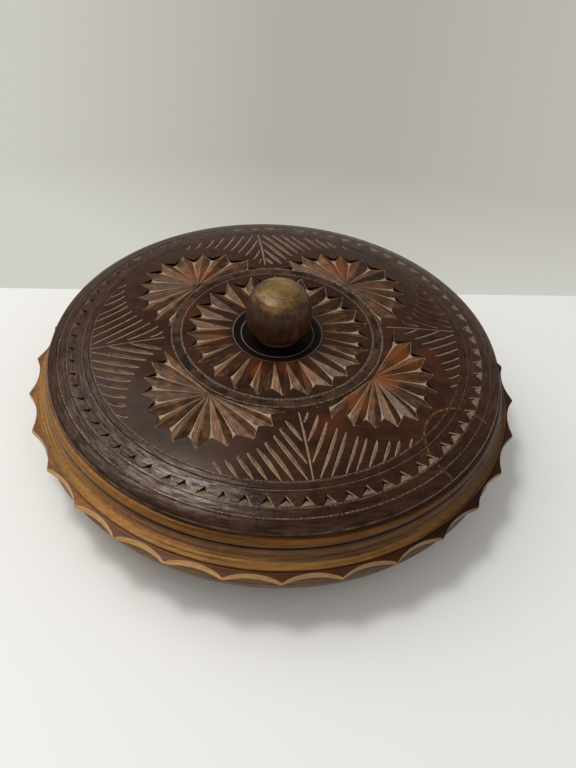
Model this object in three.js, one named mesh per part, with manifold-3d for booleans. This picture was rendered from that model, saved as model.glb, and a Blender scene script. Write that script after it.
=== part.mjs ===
// Lidded wooden bowl, turned on a lathe and carved by hand: a shallow round bowl with a
// scalloped rim, a chip-carved lid that lifts straight off, and a turned knob.
// Units are millimetres, +Z is up, and the origin is on the table under the bowl's centre.

import * as THREE from 'three';
import { mergeVertices } from 'three/addons/utils/BufferGeometryUtils.js';
import Module from 'manifold-3d';

// Driving dimensions of the bowl
const RIM_RADIUS = 118;            // out to the scallops' points
const SEAT_HEIGHT = 45.3;          // the flat ring that the lid rests on
const MOUTH_RADIUS = 98;           // inner edge of that ring
const FLANGE_TOP = 30.8;           // upper face of the thin scalloped flange
const BELLY = { centreR: 70, centreZ: 24, reachR: 44, reachZ: 21.5 };
const HOLLOW = { centreR: 68, centreZ: 28, reachR: 33.5, reachZ: 19.5 };
const FOOT = { inner: 58, outer: 66, height: 2.5 };

// Driving dimensions of the scallops, each cut with one stroke of a round gouge. The carver held
// the gouge upright on most of the rim and leaned it outward on one side.
const SCALLOPS = 30;
const SCALLOP_DEPTH = 3.7;
const GOUGE_RADIUS = 27.5;
const GOUGE_LENGTH = 10;
const GOUGE_DROP = 1.5;
const GOUGE_LEAN = { least: -2, most: 33, towards: 228.5, spread: 36 };

// Driving dimensions of the lid
const LID_RADIUS = 107;
const LID_TOP = 61.7;
const CROWN_START = 40;            // the top is level out to here, then falls away
const CROWN_FALL = 0.0025;         // how fast it falls, per square millimetre
const CROWN_END = 99;
const LIP_RADIUS = 97.4;           // locating lip, a loose fit inside the bowl's mouth
const LIP_BOTTOM = 41.8;
const LID_CLEARANCE = 0.3;
const KNOB_RECESS = { radius: 16.6, floor: 60, ledgeRadius: 20.7, ledge: 61 };

// Driving dimensions of the lid's chip carving: a rosette round the knob, four fans, four leaf
// sprays between them and a border of small chips. The rosette and the fans are made of darts:
// long chips with a valley in the middle that deepens outward to a notch between two tips. The
// carver spaced them by eye, so the valleys are listed by angle in degrees: the rosette's from
// +X, and each fan's from the direction straight outward.
const NOTCH_DEPTH = 2.1;
const ROSETTE = {
  root: KNOB_RECESS.ledgeRadius + 0.7,
  notch: 38.3,
  tip: 43.1,
  valleys: [10, 26, 41, 58, 75, 92, 108.5, 125, 141, 155.5, 169.5, 184,
    198.5, 214, 229, 244, 258.5, 272.5, 288, 303, 317, 331, 344, 357],
};
const FAN_CENTRE = 51.7;
const FAN_RING = 50.1;             // the fans stop in a wall at this turned ring
const FAN = { hubDepth: 0.6, notch: 24.1, endNotch: 29.5, point: 5, endAngle: 12.6 };
const FAN_GROWTH = [49, 106];      // a fan's notches move out between these angles
const FANS = [
  { outward: 40.3, valleys: [-105, -84, -62, -43, -20, 7, 34, 54, 75, 92, 107] },
  { outward: 132, valleys: [-107, -85, -63, -41, -17, 4, 25, 47, 68, 88, 106] },
  { outward: 227.3, valleys: [-100, -82, -65, -45, -25, -5, 17, 40, 63, 85, 102] },
  { outward: 319.2, valleys: [-103, -85, -68, -50, -28, -8, 13, 34, 55, 76, 97] },
];
const SPRAYS = [-0.1, 89.1, 179.6, 272.1];
const SPINE = { from: 52.8, to: 87.2, halfWidth: 0.75, depth: 0.65 };
const RIB = { spacing: 4.55, lean: 26, halfWidth: 1.1, depth: 0.85, inner: 53.5, outer: 86.7 };
const RIB_ROWS = { first: -5, last: 11 };
const RIB_STATIONS = [0.28, 0.65];  // where along its length a rib has its full width
const RIB_SLENDER = 8;             // a rib is at least this many times longer than half its width
const RIB_SHORTEST = 4;
const RIB_REACH = { from: -60, to: 30, step: 0.25 };
const FAN_CLEAR = 36;              // the ribs end this far from a fan's centre
const SPINE_CLEAR = 1.1;
const BORDER = { chips: 70, apex: 94.3, base: 98.7, halfAngle: 1.85, deepest: 97.3, depth: 1.25 };
const CUT_RISE = 0.15;             // cuts that die out at the surface end this far above it

// Driving dimensions of the knob
const TENON_RADIUS = 5.1;
const TENON_BOTTOM = 55.7;
const TENON_GAP = 0.3;
const KNOB_TOP = 88;

// Faces around each turned piece
const BOWL_FACES = 2 * SCALLOPS;
const LID_FACES = 48;
const KNOB_FACES = 32;

const wasm = await Module();
wasm.setup();

// A solid for joining and cutting, from a closed geometry with its shared corners merged.
function toSolid(geometry) {
  const bare = geometry.clone();
  bare.deleteAttribute('normal');
  bare.deleteAttribute('uv');
  const merged = mergeVertices(bare, 1e-4);
  const index = merged.index.array;
  const corners = [];
  for (let i = 0; i < index.length; i += 3) {
    const [a, b, c] = [index[i], index[i + 1], index[i + 2]];
    if (a !== b && b !== c && c !== a) corners.push(a, b, c);
  }
  return new wasm.Manifold(new wasm.Mesh({
    numProp: 3,
    vertProperties: new Float32Array(merged.attributes.position.array),
    triVerts: new Uint32Array(corners),
  }));
}

function toGeometry(solid) {
  const mesh = solid.getMesh();
  const geometry = new THREE.BufferGeometry();
  geometry.setAttribute('position', new THREE.BufferAttribute(mesh.vertProperties, 3));
  geometry.setIndex(new THREE.BufferAttribute(mesh.triVerts, 1));
  geometry.computeVertexNormals();
  return geometry;
}

// Turns a profile of [radius, height] points about the Z axis.
function revolve(profile, faces) {
  const points = profile.map(([r, z]) => new THREE.Vector2(r, z));
  const geometry = new THREE.LatheGeometry(points, faces);
  geometry.rotateX(Math.PI / 2);
  geometry.rotateZ(Math.PI / faces);
  return geometry;
}

// Points along a quarter of an ellipse, from one angle to another in degrees.
function quarter({ centreR, centreZ, reachR, reachZ }, from, to, steps) {
  const points = [];
  for (let i = 0; i <= steps; i += 1) {
    const angle = THREE.MathUtils.degToRad(THREE.MathUtils.lerp(from, to, i / steps));
    points.push([centreR + reachR * Math.cos(angle), centreZ + reachZ * Math.sin(angle)]);
  }
  return points;
}

// Points on a smooth curve through a few [radius, height] points.
function smooth(through, steps) {
  const curve = new THREE.SplineCurve(through.map(([r, z]) => new THREE.Vector2(r, z)));
  return curve.getPoints(steps).map((p) => [p.x, p.y]);
}

function mesh(name, geometry, color, roughness) {
  const material = new THREE.MeshStandardMaterial({ color, roughness, metalness: 0 });
  const piece = new THREE.Mesh(geometry, material);
  piece.name = name;
  return piece;
}

// The bowl's half section, from the middle of its underside round to its floor.
function bowlProfile() {
  const flange = [
    [RIM_RADIUS - 1.2, FLANGE_TOP - 3.8],
    [RIM_RADIUS, FLANGE_TOP - 2.2],
    [RIM_RADIUS - 0.4, FLANGE_TOP - 0.3],
    [113.6, FLANGE_TOP + 0.5],
  ];
  const bead = [[113.2, 32.6]];
  const cove = smooth([[111.7, 33.4], [109.7, 35.4], [108.8, 38], [108.8, 40.2]], 3);
  const seatRing = [
    [108.2, 40.7],
    [109, 41.3],
    [108.7, 44],
    [106.9, SEAT_HEIGHT],
  ];
  return [
    [0, FOOT.height - 0.5],
    [FOOT.inner - 1, FOOT.height - 0.5],
    [FOOT.inner, 0],
    [FOOT.outer, 0],
    ...quarter(BELLY, -90, 0, 6),
    ...flange,
    ...bead,
    ...cove,
    ...seatRing,
    [MOUTH_RADIUS, SEAT_HEIGHT],
    [MOUTH_RADIUS + 0.6, 40],
    ...quarter(HOLLOW, 0, -90, 5),
    [0, HOLLOW.centreZ - HOLLOW.reachZ - 0.4],
  ];
}

// How far the gouge leans outward for the stroke at an angle, falling off like a bell curve
// on both sides of the direction in which it leans most.
function gougeLean(angle) {
  const { least, most, towards, spread } = GOUGE_LEAN;
  const away = THREE.MathUtils.euclideanModulo(THREE.MathUtils.radToDeg(angle) - towards, 360);
  const nearest = Math.min(away, 360 - away);
  const share = Math.exp(-((nearest / spread) ** 2));
  return THREE.MathUtils.degToRad(THREE.MathUtils.lerp(least, most, share));
}

// One stroke of the gouge: a round bar, deepest at the flange's top edge. Where it leans
// outward as it goes down, the scallop is shallow at the flange's lower edge.
function gougeStroke(angle) {
  const bar = new THREE.CylinderGeometry(GOUGE_RADIUS, GOUGE_RADIUS, GOUGE_LENGTH, 40);
  const lean = gougeLean(angle);
  const deepest = new THREE.Vector2(RIM_RADIUS - SCALLOP_DEPTH, FLANGE_TOP);
  const outward = new THREE.Vector2(Math.cos(lean), Math.sin(lean));
  const down = new THREE.Vector2(Math.sin(lean), -Math.cos(lean));
  const centre = deepest.clone()
    .addScaledVector(outward, GOUGE_RADIUS)
    .addScaledVector(down, GOUGE_DROP);
  bar.rotateX(Math.PI / 2);
  bar.rotateY(-lean);
  bar.translate(centre.x, 0, centre.y);
  bar.rotateZ(angle);
  return toSolid(bar);
}

function makeBowl() {
  let solid = toSolid(revolve(bowlProfile(), BOWL_FACES));
  for (let i = 0; i < SCALLOPS; i += 1) {
    const angle = (2 * Math.PI * (i + 0.5)) / SCALLOPS;
    solid = solid.subtract(gougeStroke(angle));
  }
  return mesh('bowl', toGeometry(solid), 0x8a5526, 0.42);
}

// Height of the lid's top at a radius, before any carving.
function crownHeight(radius) {
  const beyond = Math.max(radius - CROWN_START, 0);
  return LID_TOP - CROWN_FALL * beyond * beyond;
}

// The lid's half section, a closed loop around the hole for the knob's tenon.
function lidProfile() {
  const hole = TENON_RADIUS + TENON_GAP;
  const rest = SEAT_HEIGHT + LID_CLEARANCE;
  const crown = [CROWN_START, 61, 81, CROWN_END].map((r) => [r, crownHeight(r)]);
  const underside = [
    [hole, 55.4],
    [60, 54.6],
    [80, 52.4],
    [88, 49],
    [90.6, LIP_BOTTOM],
    [LIP_RADIUS - 0.6, LIP_BOTTOM],
    [LIP_RADIUS, LIP_BOTTOM + 0.8],
    [LIP_RADIUS, rest],
  ];
  const edge = [
    [LID_RADIUS - 1, rest],
    [LID_RADIUS + 0.2, 46.8],
    [LID_RADIUS + 0.1, 48.4],
    [LID_RADIUS - 0.6, 48.9],
    [LID_RADIUS, 49.4],
    [LID_RADIUS - 1.6, 50.7],
    [LID_RADIUS - 4.6, 51.9],
  ];
  const recess = [
    [KNOB_RECESS.ledgeRadius + 0.5, LID_TOP],
    [KNOB_RECESS.ledgeRadius, KNOB_RECESS.ledge],
    [KNOB_RECESS.radius + 0.3, KNOB_RECESS.ledge],
    [KNOB_RECESS.radius, KNOB_RECESS.floor],
    [hole, KNOB_RECESS.floor],
  ];
  return [...underside, ...edge, ...crown.reverse(), ...recess, underside[0]];
}

// A point in the plane at a distance and an angle in radians from a centre.
function polar(distance, angle, centre = new THREE.Vector2()) {
  return new THREE.Vector2(Math.cos(angle), Math.sin(angle)).multiplyScalar(distance).add(centre);
}

// A corner of the carving: a place in the plane sunk below the crown.
function sunk(place, depth) {
  return new THREE.Vector3(place.x, place.y, crownHeight(place.length()) - depth);
}

// A cutter whose underside is made of flat facets that share their corners. Its top is level,
// clear of the lid, and upright walls stand on the facets' outer edges.
function cutter(facets) {
  const corners = [...new Set(facets.flat())];
  const count = corners.length;
  const triangles = facets.flatMap((facet) => facet.slice(2).map((c, i) => {
    const [a, b] = [facet[0], facet[i + 1]];
    const turn = (b.x - a.x) * (c.y - a.y) - (b.y - a.y) * (c.x - a.x);
    return (turn > 0 ? [a, b, c] : [a, c, b]).map((corner) => corners.indexOf(corner));
  }));
  const sides = triangles.flatMap(([a, b, c]) => [[a, b], [b, c], [c, a]]);
  const walked = new Set(sides.map(([from, to]) => from * count + to));
  const index = triangles.flatMap(([a, b, c]) => [a, c, b, a + count, b + count, c + count]);
  for (const [from, to] of sides) {
    const outer = !walked.has(to * count + from);
    if (outer) index.push(from, to, to + count, from, to + count, from + count);
  }
  const tops = corners.map(({ x, y }) => new THREE.Vector3(x, y, LID_TOP + 1));
  const geometry = new THREE.BufferGeometry().setFromPoints([...corners, ...tops]);
  geometry.setIndex(index);
  return toSolid(geometry);
}

// The two facets of one dart. Each falls from one side, between root and tip, to the valley
// between root and notch; upright walls stand between the notch and the tips.
function dart(root, notch, tipBefore, tipAfter) {
  return [[root, notch, tipBefore], [root, notch, tipAfter]];
}

// The darts round the knob. The lid's top is left standing in a spike between each two of them.
function rosette() {
  const { valleys } = ROSETTE;
  const tips = valleys.map((degrees, i) => {
    const gap = THREE.MathUtils.euclideanModulo(degrees - valleys.at(i - 1), 360);
    return sunk(polar(ROSETTE.tip, THREE.MathUtils.degToRad(degrees - gap / 2)), -CUT_RISE);
  });
  return valleys.map((degrees, i) => {
    const angle = THREE.MathUtils.degToRad(degrees);
    const root = sunk(polar(ROSETTE.root, angle), -CUT_RISE);
    const notch = sunk(polar(ROSETTE.notch, angle), NOTCH_DEPTH);
    return cutter(dart(root, notch, tips[i], tips[(i + 1) % tips.length]));
  });
}

// A fan of darts that spread from one worn hub and grow longer towards its two ends. They meet
// in crests that rise to the tips. What would reach into the turned ring is left standing.
function fan({ outward, valleys }) {
  const centre = polar(FAN_CENTRE, THREE.MathUtils.degToRad(outward));
  const hub = sunk(centre, FAN.hubDepth);
  const corner = (degrees, further, depth) => {
    const reach = THREE.MathUtils.clamp(
      THREE.MathUtils.mapLinear(Math.abs(degrees), ...FAN_GROWTH, FAN.notch, FAN.endNotch),
      FAN.notch,
      FAN.endNotch,
    );
    const angle = THREE.MathUtils.degToRad(outward + degrees);
    return sunk(polar(reach + further, angle, centre), depth);
  };
  const ends = [valleys[0] - FAN.endAngle, ...valleys, valleys.at(-1) + FAN.endAngle];
  const tips = ends.slice(1).map((degrees, i) => {
    return corner((degrees + ends[i]) / 2, FAN.point, -CUT_RISE);
  });
  const facets = valleys.flatMap((degrees, i) => {
    return dart(hub, corner(degrees, 0, NOTCH_DEPTH), tips[i], tips[i + 1]);
  });
  const ring = new THREE.CylinderGeometry(FAN_RING, FAN_RING, LID_TOP, LID_FACES);
  ring.rotateX(Math.PI / 2);
  ring.rotateZ(Math.PI / LID_FACES);
  ring.translate(0, 0, LID_TOP);
  return cutter(facets).subtract(toSolid(ring));
}

// A straight V cut that widens and deepens from its two ends. Its edges end above the crown.
function rib(from, to, halfWidth, depth) {
  const across = to.clone().sub(from).normalize().rotateAround(new THREE.Vector2(), Math.PI / 2);
  const wide = halfWidth * (1 + CUT_RISE / depth);
  const [first, second] = RIB_STATIONS.map((share) => {
    const place = from.clone().lerp(to, share);
    const edge = (side) => sunk(place.clone().addScaledVector(across, side * wide), -CUT_RISE);
    return { bottom: sunk(place, depth), edges: [edge(-1), edge(1)] };
  });
  const [start, end] = [sunk(from, -CUT_RISE), sunk(to, -CUT_RISE)];
  return cutter([0, 1].flatMap((side) => [
    [start, first.bottom, first.edges[side]],
    [first.bottom, second.bottom, second.edges[side], first.edges[side]],
    [second.bottom, end, second.edges[side]],
  ]));
}

// A leaf spray: a spine along a radius, and on both sides parallel ribs that lean towards its
// outer end. Each rib is as long as the room between the spine, the fans and the border.
function spray(angle) {
  const spine = THREE.MathUtils.degToRad(angle);
  const cuts = [
    rib(polar(SPINE.from, spine), polar(SPINE.to, spine), SPINE.halfWidth, SPINE.depth),
  ];
  const middles = FANS.map((f) => polar(FAN_CENTRE, THREE.MathUtils.degToRad(f.outward)));
  for (const hand of [-1, 1]) {
    const along = polar(1, spine - hand * THREE.MathUtils.degToRad(RIB.lean));
    const across = polar(1, spine + hand * THREE.MathUtils.degToRad(90 - RIB.lean));
    const sideways = polar(1, spine + (hand * Math.PI) / 2);
    for (let row = RIB_ROWS.first; row <= RIB_ROWS.last; row += 1) {
      const base = polar(RIB.outer, spine).addScaledVector(across, (row + 0.5) * RIB.spacing);
      const free = [];
      for (let way = RIB_REACH.from; way <= RIB_REACH.to; way += RIB_REACH.step) {
        const place = base.clone().addScaledVector(along, way);
        const inRing = place.length() > RIB.inner && place.length() < RIB.outer;
        const offSpine = place.dot(sideways) > SPINE_CLEAR;
        const offFans = middles.every((middle) => place.distanceTo(middle) > FAN_CLEAR);
        if (inRing && offSpine && offFans) free.push(place);
      }
      const [from, to] = [free[0], free.at(-1)];
      const length = free.length ? from.distanceTo(to) : 0;
      const halfWidth = Math.min(RIB.halfWidth, length / RIB_SLENDER);
      if (length > RIB_SHORTEST) cuts.push(rib(from, to, halfWidth, RIB.depth));
    }
  }
  return cuts;
}

// Small three-cornered chips in a ring, each with its apex towards the knob.
function border() {
  return Array.from({ length: BORDER.chips }, (_, i) => {
    const middle = (2 * Math.PI * (i + 0.5)) / BORDER.chips;
    const half = THREE.MathUtils.degToRad(BORDER.halfAngle);
    const apex = sunk(polar(BORDER.apex, middle), -CUT_RISE);
    const right = sunk(polar(BORDER.base, middle - half), -CUT_RISE);
    const left = sunk(polar(BORDER.base, middle + half), -CUT_RISE);
    const deepest = sunk(polar(BORDER.deepest, middle), BORDER.depth);
    return cutter([[apex, right, deepest], [right, left, deepest], [left, apex, deepest]]);
  });
}

function makeLid() {
  const cuts = [...rosette(), ...FANS.map(fan), ...SPRAYS.flatMap(spray), ...border()];
  const carving = cuts.reduce((all, one) => all.add(one));
  const solid = toSolid(revolve(lidProfile(), LID_FACES)).subtract(carving);
  return mesh('lid', toGeometry(solid), 0x4b2a1c, 0.35);
}

// The knob's half section: tenon, short neck, round body and a low domed top with an edge.
function knobProfile() {
  const shoulder = KNOB_RECESS.floor + TENON_GAP;
  const body = smooth([
    [9.8, 62.3],
    [12.6, 64],
    [14.8, 67.6],
    [15.35, 72.5],
    [14.9, 77.3],
    [13.4, 81.8],
    [11.2, 85],
  ], 9);
  return [
    [0, TENON_BOTTOM],
    [TENON_RADIUS, TENON_BOTTOM],
    [TENON_RADIUS, shoulder],
    [10.4, shoulder],
    [10.6, shoulder + 1],
    ...body,
    [8.6, 86.4],
    [4.6, 87.6],
    [0, KNOB_TOP],
  ];
}

function makeKnob() {
  return mesh('knob', toGeometry(toSolid(revolve(knobProfile(), KNOB_FACES))), 0x45291a, 0.38);
}

const liddedBowl = new THREE.Group();
liddedBowl.add(makeBowl(), makeLid(), makeKnob());

export default liddedBowl;
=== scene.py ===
"""Lidded wooden bowl: a turned bowl with a scalloped rim, a chip-carved lid and a turned knob.

Lengths inside the shape functions are millimetres and become metres when a mesh is made.
Angles of the carving are counted from +X, anticlockwise as seen from above.
"""

import math

import bmesh
import bpy
import numpy as np
from bpy.props import FloatProperty, FloatVectorProperty, IntProperty, PointerProperty
from mathutils import Matrix, Vector
from mathutils.geometry import delaunay_2d_cdt


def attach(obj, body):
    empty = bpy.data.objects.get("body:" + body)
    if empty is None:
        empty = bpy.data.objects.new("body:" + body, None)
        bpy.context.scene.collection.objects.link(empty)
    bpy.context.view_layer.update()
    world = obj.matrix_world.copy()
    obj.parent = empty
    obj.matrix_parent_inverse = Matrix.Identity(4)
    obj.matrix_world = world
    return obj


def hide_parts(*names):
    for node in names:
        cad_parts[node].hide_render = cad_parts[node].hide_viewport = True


bl_info = {
    "name": "Lidded wooden bowl",
    "version": (1, 0, 0),
    "blender": (4, 5, 0),
    "location": "3D View > Sidebar > Wooden Bowl",
    "description": "Builds a turned bowl with a scalloped rim and a chip-carved lid",
    "category": "Object",
}

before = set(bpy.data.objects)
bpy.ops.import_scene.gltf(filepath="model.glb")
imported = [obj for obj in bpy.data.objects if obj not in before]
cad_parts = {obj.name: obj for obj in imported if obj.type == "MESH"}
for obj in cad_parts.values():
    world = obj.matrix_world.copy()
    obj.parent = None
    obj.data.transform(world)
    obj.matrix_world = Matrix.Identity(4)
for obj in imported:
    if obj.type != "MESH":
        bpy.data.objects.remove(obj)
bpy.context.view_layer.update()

MM = 0.001

# Where the carving stands on the lid, all in millimetres and degrees
RECESS_EDGE = 21.2  # outer edge of the sunk ring round the knob
CARVED_EDGE = 99.6  # the carving ends inside this radius
LID_SEGMENTS = 360
ROSETTE_VALLEYS = (10, 26, 41, 58, 75, 92, 108.5, 125, 141, 155.5, 169.5, 184, 198.5, 214, 229,
                   244, 258.5, 272.5, 288, 303, 317, 331, 344, 357)
FAN_ANGLES = (40.3, 132.0, 227.3, 319.2)
FAN_RADIUS = 51.7  # how far each fan's centre is from the lid's centre
FAN_CUT_OFF = 49.6  # the band cuts off the fans' darts inside this radius
FAN_VALLEYS = (  # each fan's valleys, from its outward direction
    (-105, -84, -62, -43, -20, 7, 34, 54, 75, 92, 107),
    (-107, -85, -63, -41, -17, 4, 25, 47, 68, 88, 106),
    (-100, -82, -65, -45, -25, -5, 17, 40, 63, 85, 102),
    (-103, -85, -68, -50, -28, -8, 13, 34, 55, 76, 97),
)
FAN_CLEAR = 35.7  # the sprays stay this far from a fan's centre
SPRAY_ANGLES = (-0.1, 89.1, 179.6, 272.1)
SPRAY_RING = (53.5, 86.7)  # the sprays fill the ground between these radii
RIB_SPACING = 4.55
BORDER_CHIPS = 70
CHIP_BASE = 97.6  # radius of the border chips' outer corners
BAND_RADIUS = 47.25  # middle of the sunk band between rosette and fans
V_GROOVES = (45.5, 49.0, 87.4, 90.2)
EDGE_GROOVE = 98.4
CROWN_LEVEL = 40.0  # the lid's top is level out to here
CROWN_FALL = 0.0025
RIB_LIGHT = (-1.0, 0.05)  # the broad walls of the sprays' cuts face this way
PAINTED_LIGHT_FROM = (-0.95, 0.3, 0.0)  # painted light: faces of the cuts that face this way, towards the lamp on the left, are painted palest and those turned away darkest

# Marks on the lid: rust-coloured spots as x, y and radius, and the ring that a wet cup left,
# whose centre is in metres
RUST_SPOTS = ((-13, -25, 7), (1, -25, 6), (10, -31, 7), (-30, 3, 8), (57, -21, 12),
              (44, -35, 10), (38, 51, 13), (-35, 50, 12), (-38, 17, 8), (30, -48, 9),
              (68, -20, 8), (14, -62, 9))
STAIN_CENTRE = (0.0735, -0.070, 0.0)
STAIN_RADIUS = 18.7

# Turned lips as radius and half width: rubbed pale, the outer ones also painted brighter on the
# front left as painted highlight; the step edges only get painted glints there
INNER_LIPS = ((45.1, 0.6), (49.4, 0.6))
OUTER_LIPS = ((87.1, 0.5), (90.5, 0.45), (98.1, 0.4), (102.3, 0.4))
STEP_EDGES = ((17.0, 0.45), (21.0, 0.4))

# The strokes of the bowl's gouge
LEANS_TOWARDS = math.radians(228.5)  # the gouge leans outward most on this side
LEAN_SPREAD = math.radians(36.0)
GOUGE_PIVOT = 30.8  # height at which a hollow has its own radius
BELLY_TOP = 26.0  # the gouge stays clear of what is below

KNOB_SEGMENTS = 128
TABLE_TURN = math.radians(-5.2)  # the line of the wall's foot, from the X axis
WALL_DISTANCE = 0.1085  # from the bowl's axis to that line
CAMERA_TURN = math.radians(-11.5)  # the camera's side of the bowl, from the -Y axis


def linear(code):
    """Turn an sRGB hex colour into the linear red, green, blue and alpha that shaders use."""
    srgb = [int(code[i:i + 2], 16) / 255 for i in (1, 3, 5)]
    channels = (c / 12.92 if c <= 0.04045 else ((c + 0.055) / 1.055) ** 2.4 for c in srgb)
    return (*channels, 1.0)


class Value:
    """A node's output, which can stand in a formula: value first, then a number or a value."""

    def __init__(self, nodes, socket):
        self.nodes, self.socket = nodes, socket

    def __add__(self, other):
        return self.nodes.calc("ADD", self, other)

    def __sub__(self, other):
        return self.nodes.calc("SUBTRACT", self, other)

    def __mul__(self, other):
        return self.nodes.calc("MULTIPLY", self, other)

    def __abs__(self):
        return self.nodes.calc("ABSOLUTE", self)


class Nodes:
    """The shader nodes of a material or a world. Colours are hex codes or linear values."""

    def __init__(self, owner):
        owner.use_nodes = True
        self.tree = owner.node_tree
        self.tree.nodes.clear()

    def add(self, kind, inputs=None, output=0, stops=(), **settings):
        """Add a node, set its properties, fill or link its sockets, and set a ramp's stops."""
        node = self.tree.nodes.new(kind)
        for name, value in settings.items():
            setattr(node, name, value)
        for socket, value in (inputs or {}).items():
            if isinstance(value, Value):
                self.tree.links.new(value.socket, node.inputs[socket])
            else:
                value = linear(value) if isinstance(value, str) else value
                node.inputs[socket].default_value = value
        if stops:
            elements = node.color_ramp.elements
            while len(elements) < len(stops):
                elements.new(1.0)
            for element, (place, colour) in zip(elements, stops):
                element.position = place
                element.color = linear(colour) if isinstance(colour, str) else colour
        return Value(self, node.outputs[output]) if node.outputs else None

    def place(self):
        return self.add("ShaderNodeTexCoord", output="Object")

    def attribute(self, name, output="Fac"):
        return self.add("ShaderNodeAttribute", output=output, attribute_name=name)

    def part(self, vector, axis):
        return self.add("ShaderNodeSeparateXYZ", {0: vector}, axis)

    def noise(self, place, scale, detail=4.0, rough=0.6):
        return self.add("ShaderNodeTexNoise", {"Vector": place, "Scale": scale,
                                               "Detail": detail, "Roughness": rough})

    def stretch(self, place, scale):
        return self.add("ShaderNodeMapping", {"Vector": place, "Scale": scale})

    def remap(self, value, first, last, low=0.0, high=1.0):
        """Bring a value from one span to another, and hold it at the ends."""
        return self.add("ShaderNodeMapRange", {0: value, 1: first, 2: last, 3: low, 4: high})

    def ramp(self, value, *stops):
        return self.add("ShaderNodeValToRGB", {"Fac": value}, stops=stops)

    def mix(self, share, below, above):
        return self.add("ShaderNodeMix", {0: share, 6: below, 7: above}, 2, data_type="RGBA")

    def scaled(self, colour, value):
        return self.add("ShaderNodeVectorMath", {0: colour, "Scale": value}, operation="SCALE")

    def calc(self, operation, *values):
        return self.add("ShaderNodeMath", dict(enumerate(values)), operation=operation)

    def most(self, first, *others):
        """The largest of some values."""
        for other in others:
            first = self.calc("MAXIMUM", first, other)
        return first

    def vector(self, operation, *values):
        return self.add("ShaderNodeVectorMath", dict(enumerate(values)), operation=operation)

    def span(self, operation, *values):
        """A length, a distance or a dot product of vectors."""
        return self.add("ShaderNodeVectorMath", dict(enumerate(values)), "Value",
                        operation=operation)

    def wood(self, colour, roughness, rise, strength, ior, level, tint):
        """The surface of finished wood, whose fine relief is at most 0.2 mm high."""
        relief = self.add("ShaderNodeBump", {"Height": rise, "Strength": strength,
                                             "Distance": 0.2 * MM})
        shader = self.add("ShaderNodeBsdfPrincipled", {
            "Base Color": colour, "Roughness": roughness, "Normal": relief, "IOR": ior,
            "Specular IOR Level": level, "Specular Tint": tint})
        self.add("ShaderNodeOutputMaterial", {"Surface": shader})


def new_material(name):
    material = bpy.data.materials.new(name)
    return material, Nodes(material)


def curve(points, steps):
    """Smooth path through the points: a Catmull-Rom spline, that is between two neighbours a
    cubic whose slope at each is half the step from the point before to the point after."""
    p = np.array(points, float)
    p = np.vstack([2 * p[0] - p[1], p, 2 * p[-1] - p[-2]])
    t = np.linspace(0, len(points) - 1, steps * (len(points) - 1) + 1)
    i = np.minimum(t.astype(int), len(points) - 2)
    f = (t - i)[:, None]
    a, b, c, d = p[i], p[i + 1], p[i + 2], p[i + 3]
    return 0.5 * (2 * b + (c - a) * f + (2 * a - 5 * b + 4 * c - d) * f ** 2
                  + (3 * b - a - 3 * c + d) * f ** 3)


def line(points, steps):
    """Straight path through the points, each stretch cut into equal steps."""
    p = np.array(points, float)
    t = np.linspace(0, len(points) - 1, steps * (len(points) - 1) + 1)
    index = np.arange(len(points))
    return np.column_stack([np.interp(t, index, p[:, 0]), np.interp(t, index, p[:, 1])])


def profile(start, *stretches):
    """A path from a start point through stretches, each a kind of path, its steps and the
    points that it goes on to."""
    paths = []
    for kind, steps, *points in stretches:
        paths.append(kind([start, *points], steps))
        start = points[-1]
    points = np.vstack(paths)
    step = np.linalg.norm(np.diff(points, axis=0), axis=1)
    return points[np.concatenate([[True], step > 1e-6])]


def arc(middle, half_axes, first, last, count):
    """Points of an ellipse from one angle in degrees to another, counted from +X."""
    return [(middle[0] + half_axes[0] * math.cos(a), middle[1] + half_axes[1] * math.sin(a))
            for a in np.radians(np.linspace(first, last, count))]


def around(count):
    return np.arange(count) * 2 * np.pi / count


def circle(angle):
    return np.column_stack([np.cos(angle), np.sin(angle)])



def turned(radius, height, angle):
    """Points x = radius cos(angle), y = radius sin(angle), z = height of a turned surface,
    from arrays with a row for each profile point and a column for each angle."""
    radius, height, angle = np.broadcast_arrays(radius, height, angle)
    return np.stack([radius * np.cos(angle), radius * np.sin(angle), height], axis=-1)


def grid_faces(rows, columns):
    """Quads of a grid whose last column joins its first."""
    row, column = np.meshgrid(np.arange(rows - 1), np.arange(columns), indexing="ij")
    after = (column + 1) % columns
    corners = [row * columns + column, row * columns + after,
               (row + 1) * columns + after, (row + 1) * columns + column]
    return np.stack(corners, axis=-1).reshape(-1, 4)


def spun(path, count):
    """Points and quads of the surface that a profile sweeps round the axis."""
    points = turned(path[:, :1], path[:, 1:], around(count)[None, :]).reshape(-1, 3)
    return points, grid_faces(len(path), count)


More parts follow.
